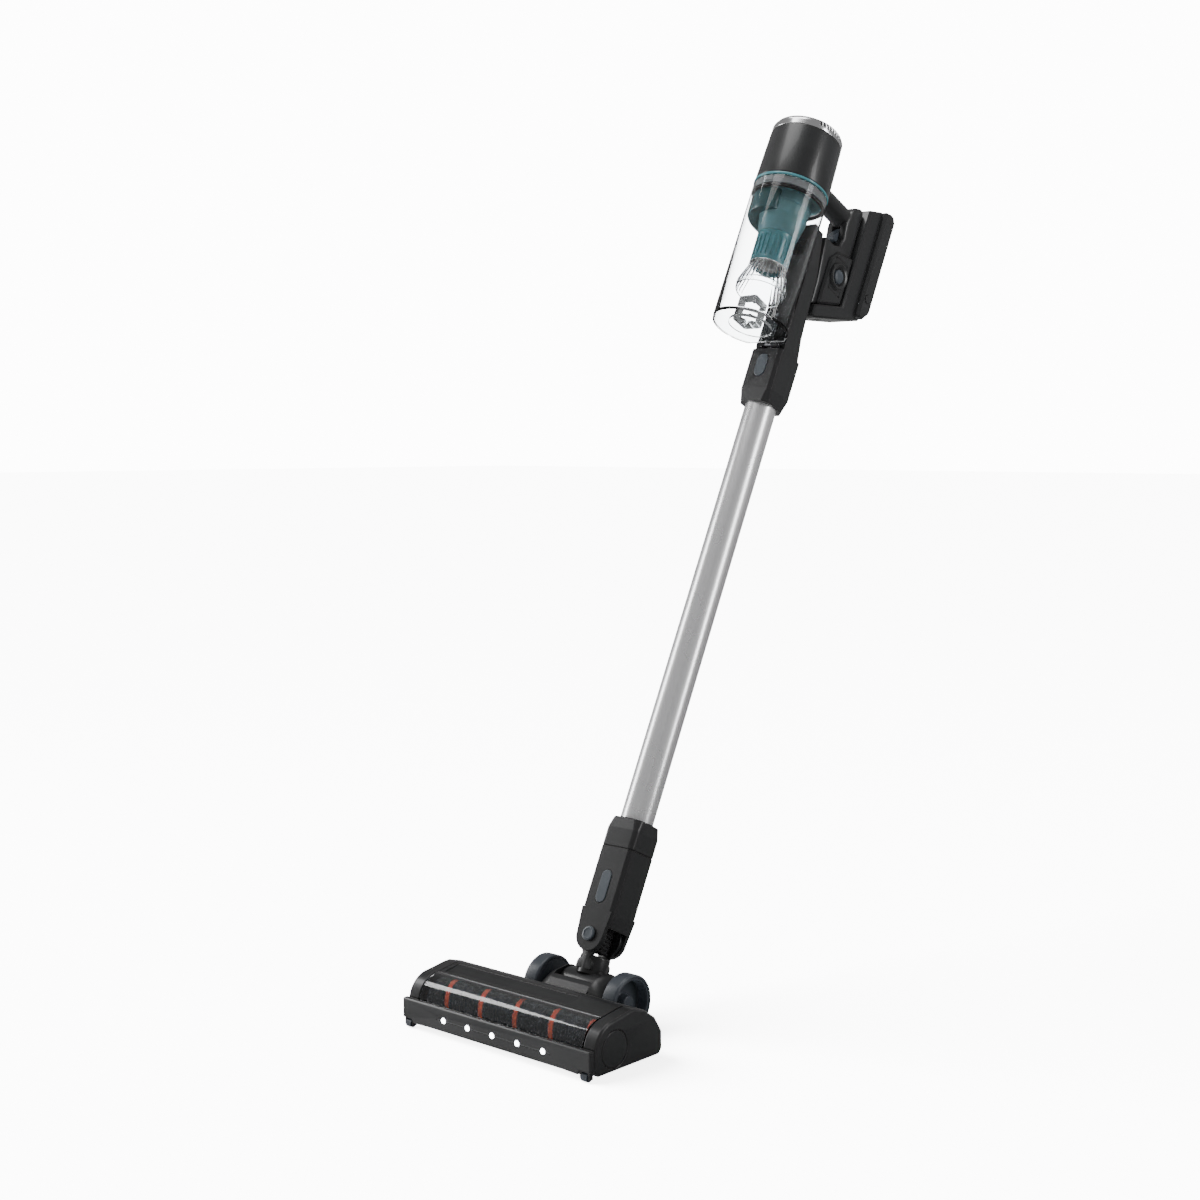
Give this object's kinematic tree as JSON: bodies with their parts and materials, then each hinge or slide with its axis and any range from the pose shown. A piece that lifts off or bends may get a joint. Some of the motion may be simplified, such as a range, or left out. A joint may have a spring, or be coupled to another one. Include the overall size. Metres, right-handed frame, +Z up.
{
  "type": "cordless stick vacuum",
  "caption": "Cordless stick vacuum with a motorised floor head behind a clear window, a swivel neck, a silver tube and a handheld cyclone unit with a loop handle and battery pack.",
  "frame": {"origin": "bottom centre of the bounding box, on the floor that the wheels and the small front rollers stand on", "axes": "+X along the floor head's width, to the right seen from the front; the head's front faces -Y; +Z up"},
  "size_m": [0.25, 0.642, 0.9346],
  "materials": {
    "charcoal": "satin moulded plastic",
    "charcoal_satin": "fine matt moulded plastic",
    "black": "matt moulded plastic",
    "window": "clear smoky plastic",
    "clear": "clear plastic",
    "lamp": "frosted clear plastic over small lamps",
    "brush": "soft pile with a red spiral stripe",
    "steel": "plain steel",
    "rubber": "matt rubber",
    "tyre": "blue-grey rubber",
    "blue_grey": "satin blue-grey plastic",
    "silver": "polished aluminium",
    "silver_plastic": "bright plated plastic",
    "teal": "gloss teal plastic",
    "teal_clear": "translucent teal plastic",
    "filter": "pleated filter paper",
    "board": "green laminate",
    "cell": "wrapped round cells"
  },
  "bodies": {
    "floor_head": {"head_base": "charcoal_satin", "head_cover": "charcoal_satin", "roller_window": "window", "end_cap_left": "charcoal", "end_cap_right": "charcoal", "front_bumper": "charcoal", "lamp_strip": "lamp", "brush_motor": "steel", "drive_belt": "rubber", "roller_bearing": "steel", "rear_yoke": "charcoal_satin"},
    "roller": {"roller_brush": "brush", "roller_shaft": "steel", "roller_pulley": "black"},
    "motor_shaft": {"motor_pulley": "black"},
    "left_wheel": {"tyre_left": "tyre", "wheel_left": "black"},
    "right_wheel": {"tyre_right": "tyre", "wheel_right": "black"},
    "left_front_roller": {"front_roller_left": "tyre"},
    "right_front_roller": {"front_roller_right": "tyre"},
    "release_disc": {"brush_release_disc": "charcoal"},
    "neck": {"neck_duct": "charcoal", "swivel_pin_front": "blue_grey", "swivel_pin_rear": "blue_grey", "swivel_hose": "black"},
    "lower_wand": {"lower_connector": "charcoal", "lower_collar": "charcoal", "lower_button_spring": "steel"},
    "lower_button": {"lower_release_button": "blue_grey"},
    "wand": {"tube": "silver", "tube_plug": "black", "upper_connector": "charcoal", "upper_button_spring": "steel"},
    "upper_button": {"upper_release_button": "blue_grey"},
    "handheld": {"main_body": "charcoal", "motor_housing": "charcoal", "teal_ring": "teal", "exhaust_filter": "filter", "suction_motor": "steel", "handle_frame": "charcoal", "circuit_board": "board", "bezel": "charcoal"},
    "fan_shaft": {"fan": "black"},
    "exhaust": {"exhaust_cap": "silver_plastic"},
    "dust_bin": {"dust_cup": "clear", "cup_hinge_block": "charcoal", "lid_pin": "steel", "cyclone_body": "teal_clear", "cyclone_grille": "teal", "cyclone_skirt": "clear", "cup_seal": "rubber", "pre_filter": "filter"},
    "bin_lid": {"cup_lid": "clear"},
    "trigger_lever": {"trigger": "blue_grey"},
    "power_button": {"mode_button": "blue_grey"},
    "battery": {"battery_case": "charcoal", "battery_cover": "charcoal", "battery_cells": "cell"},
    "battery_latch": {"battery_button": "charcoal"}
  },
  "joints": [
    {"name": "roller_spin", "type": "hinge", "parent": "floor_head", "child": "roller", "pos_m": [0, -0.28625, 0.024], "axis": [1, 0, 0], "continuous": true},
    {"name": "motor_shaft_spin", "type": "hinge", "parent": "floor_head", "child": "motor_shaft", "pos_m": [0, -0.23855, 0.0246], "axis": [1, 0, 0], "continuous": true},
    {"name": "left_wheel_spin", "type": "hinge", "parent": "floor_head", "child": "left_wheel", "pos_m": [-0.0526, -0.18655, 0.029], "axis": [1, 0, 0], "continuous": true},
    {"name": "right_wheel_spin", "type": "hinge", "parent": "floor_head", "child": "right_wheel", "pos_m": [0.0526, -0.18655, 0.029], "axis": [1, 0, 0], "continuous": true},
    {"name": "left_front_roller_spin", "type": "hinge", "parent": "floor_head", "child": "left_front_roller", "pos_m": [-0.1172, -0.31635, 0.0042], "axis": [1, 0, 0], "continuous": true},
    {"name": "right_front_roller_spin", "type": "hinge", "parent": "floor_head", "child": "right_front_roller", "pos_m": [0.1172, -0.31635, 0.0042], "axis": [1, 0, 0], "continuous": true},
    {"name": "roller_release_turn", "type": "hinge", "parent": "floor_head", "child": "release_disc", "pos_m": [0.125, -0.28625, 0.024], "axis": [1, 0, 0], "range_deg": [0, 60]},
    {"name": "neck_tilt", "type": "hinge", "parent": "floor_head", "child": "neck", "pos_m": [0, -0.18555, 0.034], "axis": [1, 0, 0], "range_deg": [-52, 22]},
    {"name": "wand_swivel", "type": "hinge", "parent": "neck", "child": "lower_wand", "pos_m": [0, -0.16363, 0.07894], "axis": [0, -0.8988, 0.4384], "range_deg": [-35, 35], "deforming": ["swivel_hose"]},
    {"name": "lower_release_press", "type": "slide", "parent": "lower_wand", "child": "lower_button", "axis": [0, 0.8988, -0.4384], "range_m": [0, 0.002], "stiffness_N_per_m": 400, "springref_m": -0.002, "deforming": ["lower_button_spring"]},
    {"name": "tube_pull_out", "type": "slide", "parent": "lower_wand", "child": "wand", "axis": [0, 0.4384, 0.8988], "range_m": [0, 0.06]},
    {"name": "upper_release_press", "type": "slide", "parent": "wand", "child": "upper_button", "axis": [0, 0.8988, -0.4384], "range_m": [0, 0.002], "stiffness_N_per_m": 400, "springref_m": -0.002, "deforming": ["upper_button_spring"]},
    {"name": "handheld_pull_off", "type": "slide", "parent": "wand", "child": "handheld", "axis": [0, 0.4384, 0.8988], "range_m": [0, 0.05]},
    {"name": "fan_spin", "type": "hinge", "parent": "handheld", "child": "fan_shaft", "pos_m": [0, 0.1532, 0.85788], "axis": [0, 0.4384, 0.8988], "continuous": true},
    {"name": "exhaust_cap_pull", "type": "slide", "parent": "handheld", "child": "exhaust", "axis": [0, 0.4384, 0.8988], "range_m": [0, 0.03]},
    {"name": "dust_bin_pull", "type": "slide", "parent": "handheld", "child": "dust_bin", "axis": [0, -0.8988, 0.4384], "range_m": [0, 0.08]},
    {"name": "bin_lid_open", "type": "hinge", "parent": "dust_bin", "child": "bin_lid", "pos_m": [0, 0.11091, 0.68403], "axis": [1, 0, 0], "range_deg": [0, 65]},
    {"name": "trigger_pull", "type": "hinge", "parent": "handheld", "child": "trigger_lever", "pos_m": [0, 0.24546, 0.81734], "axis": [1, 0, 0], "range_deg": [0, 6], "stiffness_Nm_per_rad": 0.3, "springref_deg": -11.46},
    {"name": "mode_button_press", "type": "slide", "parent": "handheld", "child": "power_button", "axis": [-1, 0, 0], "range_m": [0, 0.0015], "stiffness_N_per_m": 400, "springref_m": -0.002},
    {"name": "battery_slide", "type": "slide", "parent": "handheld", "child": "battery", "axis": [0, 1, 0], "range_m": [0, 0.08]},
    {"name": "battery_button_press", "type": "slide", "parent": "battery", "child": "battery_latch", "axis": [-1, 0, 0], "range_m": [0, 0.0015], "stiffness_N_per_m": 400, "springref_m": -0.002}
  ],
  "couplings": [
    {"joint": "motor_shaft_spin", "follows": "roller_spin", "ratio": 1.7143}
  ]
}
